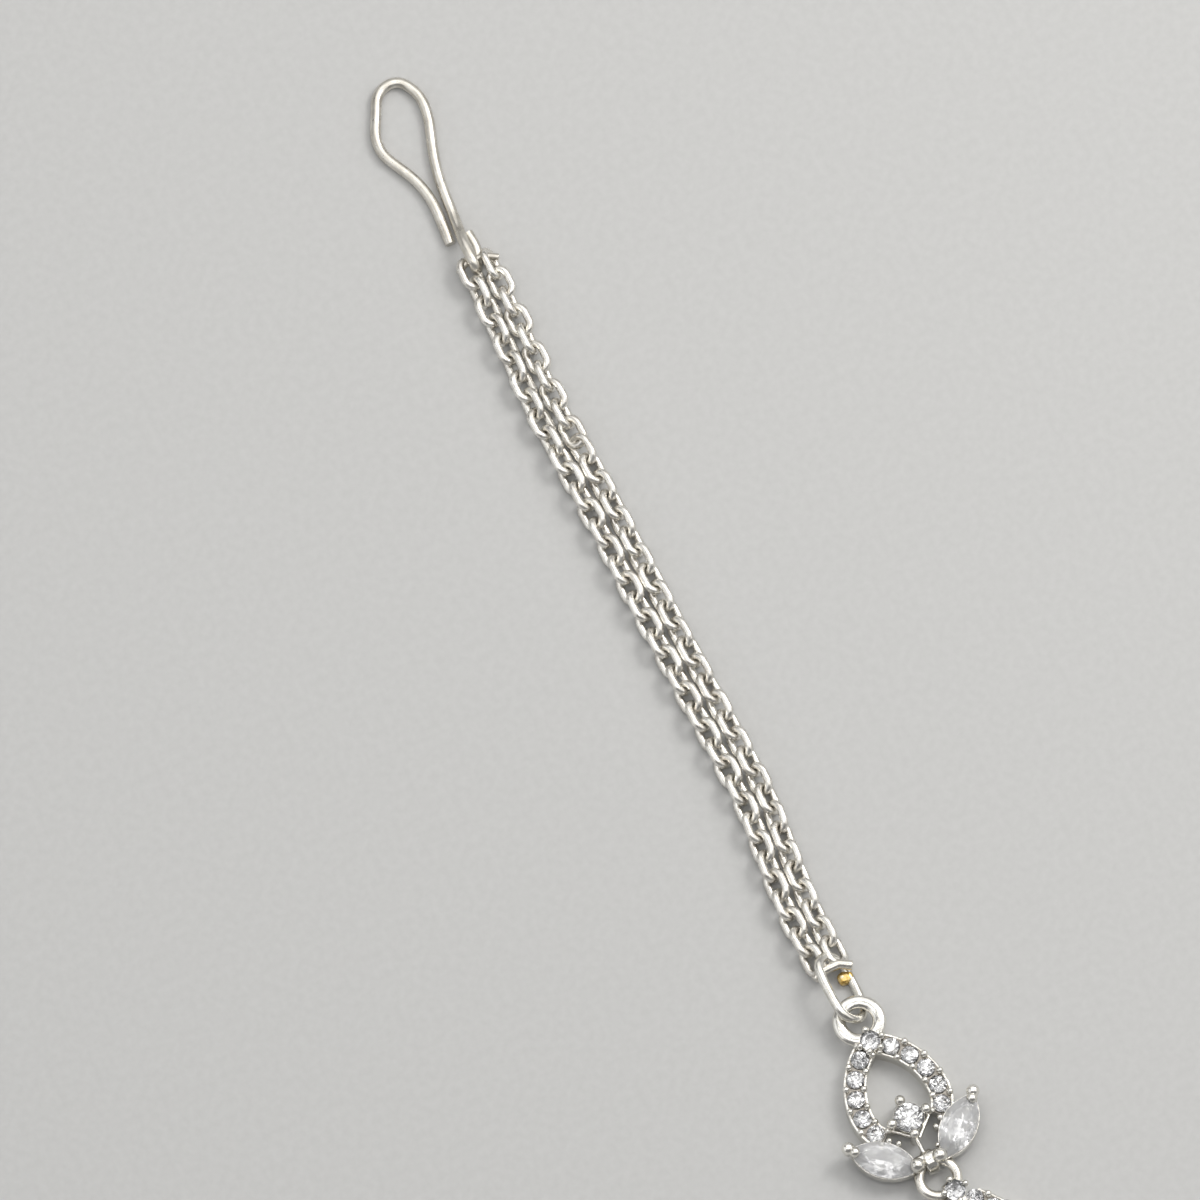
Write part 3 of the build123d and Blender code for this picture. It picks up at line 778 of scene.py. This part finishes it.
def camera():
    """The camera, high above the jewel and turned so that its chain runs up to the left."""
    data = bpy.data.cameras.new("camera")
    data.sensor_width = SENSOR_WIDTH
    data.lens = data.sensor_width * VIEW_DISTANCE / VIEW_WIDTH
    data.clip_start, data.clip_end = CLIP_RANGE
    back = -IMAGE_UP * math.cos(VIEW_ELEVATION) + Vector((0, 0, math.sin(VIEW_ELEVATION)))
    holder = bpy.data.objects.new("camera", data)
    turn = Matrix((IMAGE_RIGHT, back.cross(IMAGE_RIGHT), back)).transposed().to_4x4()
    holder.matrix_world = Matrix.Translation((VIEW_CENTRE + back * VIEW_DISTANCE) * MM) @ turn
    bpy.context.scene.collection.objects.link(holder)
    bpy.context.scene.camera = holder


def softbox(name, azimuth, elevation, distance_mm, size_mm, watts, colour):
    """A rectangular lamp that faces the jewel; azimuth runs from image right towards image up."""
    data = bpy.data.lights.new(name, "AREA")
    data.shape = "RECTANGLE"
    data.size, data.size_y = size_mm[0] * MM, size_mm[1] * MM
    data.energy = watts
    data.color = colour
    turn, rise = math.radians(azimuth), math.radians(elevation)
    flat = IMAGE_RIGHT * math.cos(turn) + IMAGE_UP * math.sin(turn)
    toward = flat * math.cos(rise) + Vector((0, 0, math.sin(rise)))
    holder = bpy.data.objects.new(name, data)
    holder.location = toward * distance_mm * MM
    holder.rotation_euler = toward.to_track_quat("Z", "Y").to_euler()
    holder.visible_camera = False
    bpy.context.scene.collection.objects.link(holder)


def pale_world():
    """A plain world, pale at the horizon and darker overhead."""
    world = bpy.data.worlds.new("studio")
    world.use_nodes = True
    nodes, links = world.node_tree.nodes, world.node_tree.links
    split = nodes.new("ShaderNodeSeparateXYZ")
    links.new(nodes.new("ShaderNodeTexCoord").outputs["Generated"], split.inputs["Vector"])
    tone = ramp(nodes, links, split.outputs["Z"], WORLD_STOPS)
    links.new(tone, nodes["Background"].inputs["Color"])
    return world


def pale_floor():
    """The plain pale floor."""
    data = bpy.data.meshes.new("floor")
    reach = FLOOR_REACH
    corners = [(-reach, -reach, 0), (reach, -reach, 0), (reach, reach, 0), (-reach, reach, 0)]
    data.from_pydata(corners, [], [(0, 1, 2, 3)])
    floor = bpy.data.objects.new("floor", data)
    bpy.context.scene.collection.objects.link(floor)
    material, nodes, links, shader = new_material("floor_paper")
    grain = noise(nodes, links, coordinates(nodes), FLOOR_GRAIN, detail=3.0)
    links.new(ramp(nodes, links, grain, FLOOR_TONES), shader.inputs["Base Color"])
    shader.inputs["Roughness"].default_value = 0.9
    shader.inputs["Specular IOR Level"].default_value = 0.2
    data.materials.append(material)


def studio():
    """Plain pale floor, soft lamps and a pale world."""
    pale_floor()
    bpy.context.scene.world = pale_world()
    for lamp in LAMPS:
        softbox(*lamp)
    bpy.context.scene.view_settings.view_transform = "Standard"


# --- making --------------------------------------------------------------------------------------
def main():
    """Camera, jewel and studio."""
    camera()
    draw = random.Random(SEED)
    # only the casting gets the painted shade on its paved floor
    metals = {name: silver(name, name == "silver_casting") for name in METALS}
    foil = stone_foil("stone_foil", CLEAR_FOIL, cloud_mm=0.45, rough=(0.05, 0.14))
    crown = stone_crown("clear_stone", CLEAR_TONES, transmission=1.0, ior=2.1, roughness=0.015)
    clear = [crown, foil]
    foil = stone_foil("milky_foil", MILKY_FOIL, cloud_mm=0.40, rough=(0.04, 0.12))
    crown = stone_crown("milky_stone", MILKY_TONES, transmission=0.64, ior=1.54, roughness=0.012)
    milky = [crown, foil]
    for node, metal in NODE_METALS.items():
        dress(node, metals[metal])
    for side in (-1, 1):
        chain_links(side, metals["silver_chain"], draw)
    jump_ring_joint(brass())
    motif = motif_centre()
    casting = metals["silver_casting"]
    pave("motif", motif, motif_layout(), clear, casting, draw)
    pave("pendant", pendant_centre(), pendant_layout(), clear, casting, draw)
    large_stones(motif, clear, milky, draw)
    studio()


main()
